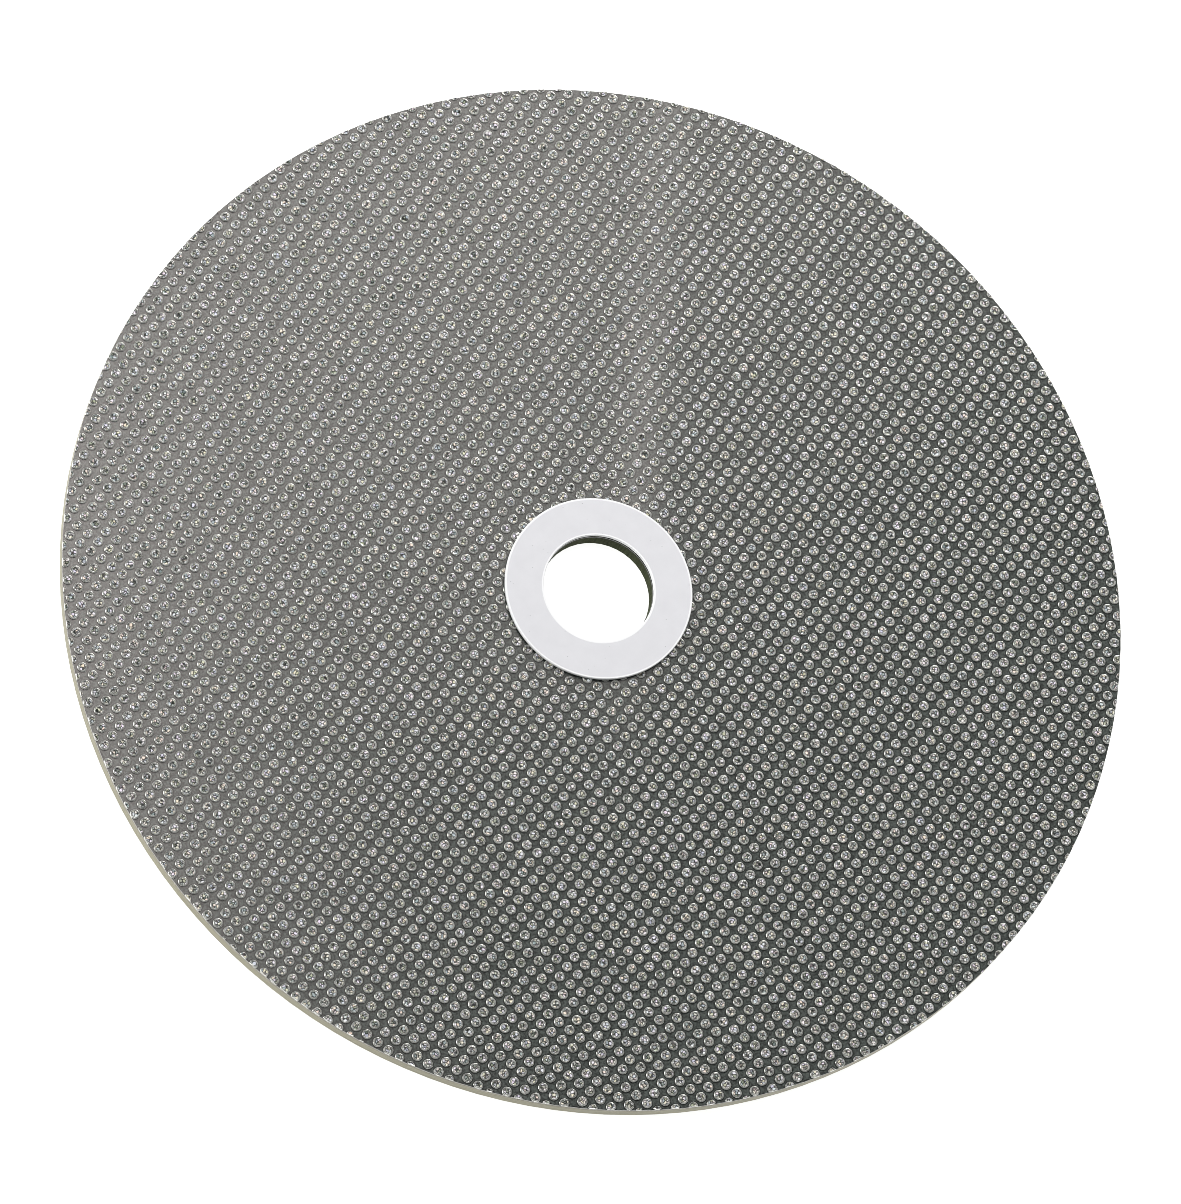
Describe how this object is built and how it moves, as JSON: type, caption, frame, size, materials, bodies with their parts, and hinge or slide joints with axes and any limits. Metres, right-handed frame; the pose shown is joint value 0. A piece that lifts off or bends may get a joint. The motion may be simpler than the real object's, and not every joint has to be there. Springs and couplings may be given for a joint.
{
  "type": "dot-pattern diamond grinding disc",
  "caption": "Flat round diamond grinding disc for an angle grinder, with raised abrasive dots, a glass-fibre plate, a centre ring and an arbor hole.",
  "frame": {"origin": "on the arbor hole's axis, in the plane of the plate's back face", "axes": "+Z along the arbor hole, out of the abrasive face; +X and +Y along the rows of dots"},
  "size_m": [0.1524, 0.1524, 0.0036],
  "materials": {
    "glass_fibre_plate": "cut glass-fibre and epoxy sheet, beige-green at the edge",
    "adhesive_film": "dark pressure-sensitive adhesive",
    "carrier_cloth": "thin woven cloth, cut edge only",
    "dark_resin": "smooth semi-gloss dark grey resin",
    "plated_diamond_grit": "diamond grit held in plated nickel, rough and glinting",
    "white_plastic": "matt white plastic"
  },
  "bodies": {
    "root": {"backing_plate": "glass_fibre_plate", "bonding_film": "adhesive_film", "carrier_cloth": "carrier_cloth", "resin_coat": "dark_resin", "diamond_dots": "plated_diamond_grit", "ring_adhesive": "adhesive_film", "centre_ring": "white_plastic"}
  },
  "joints": []
}
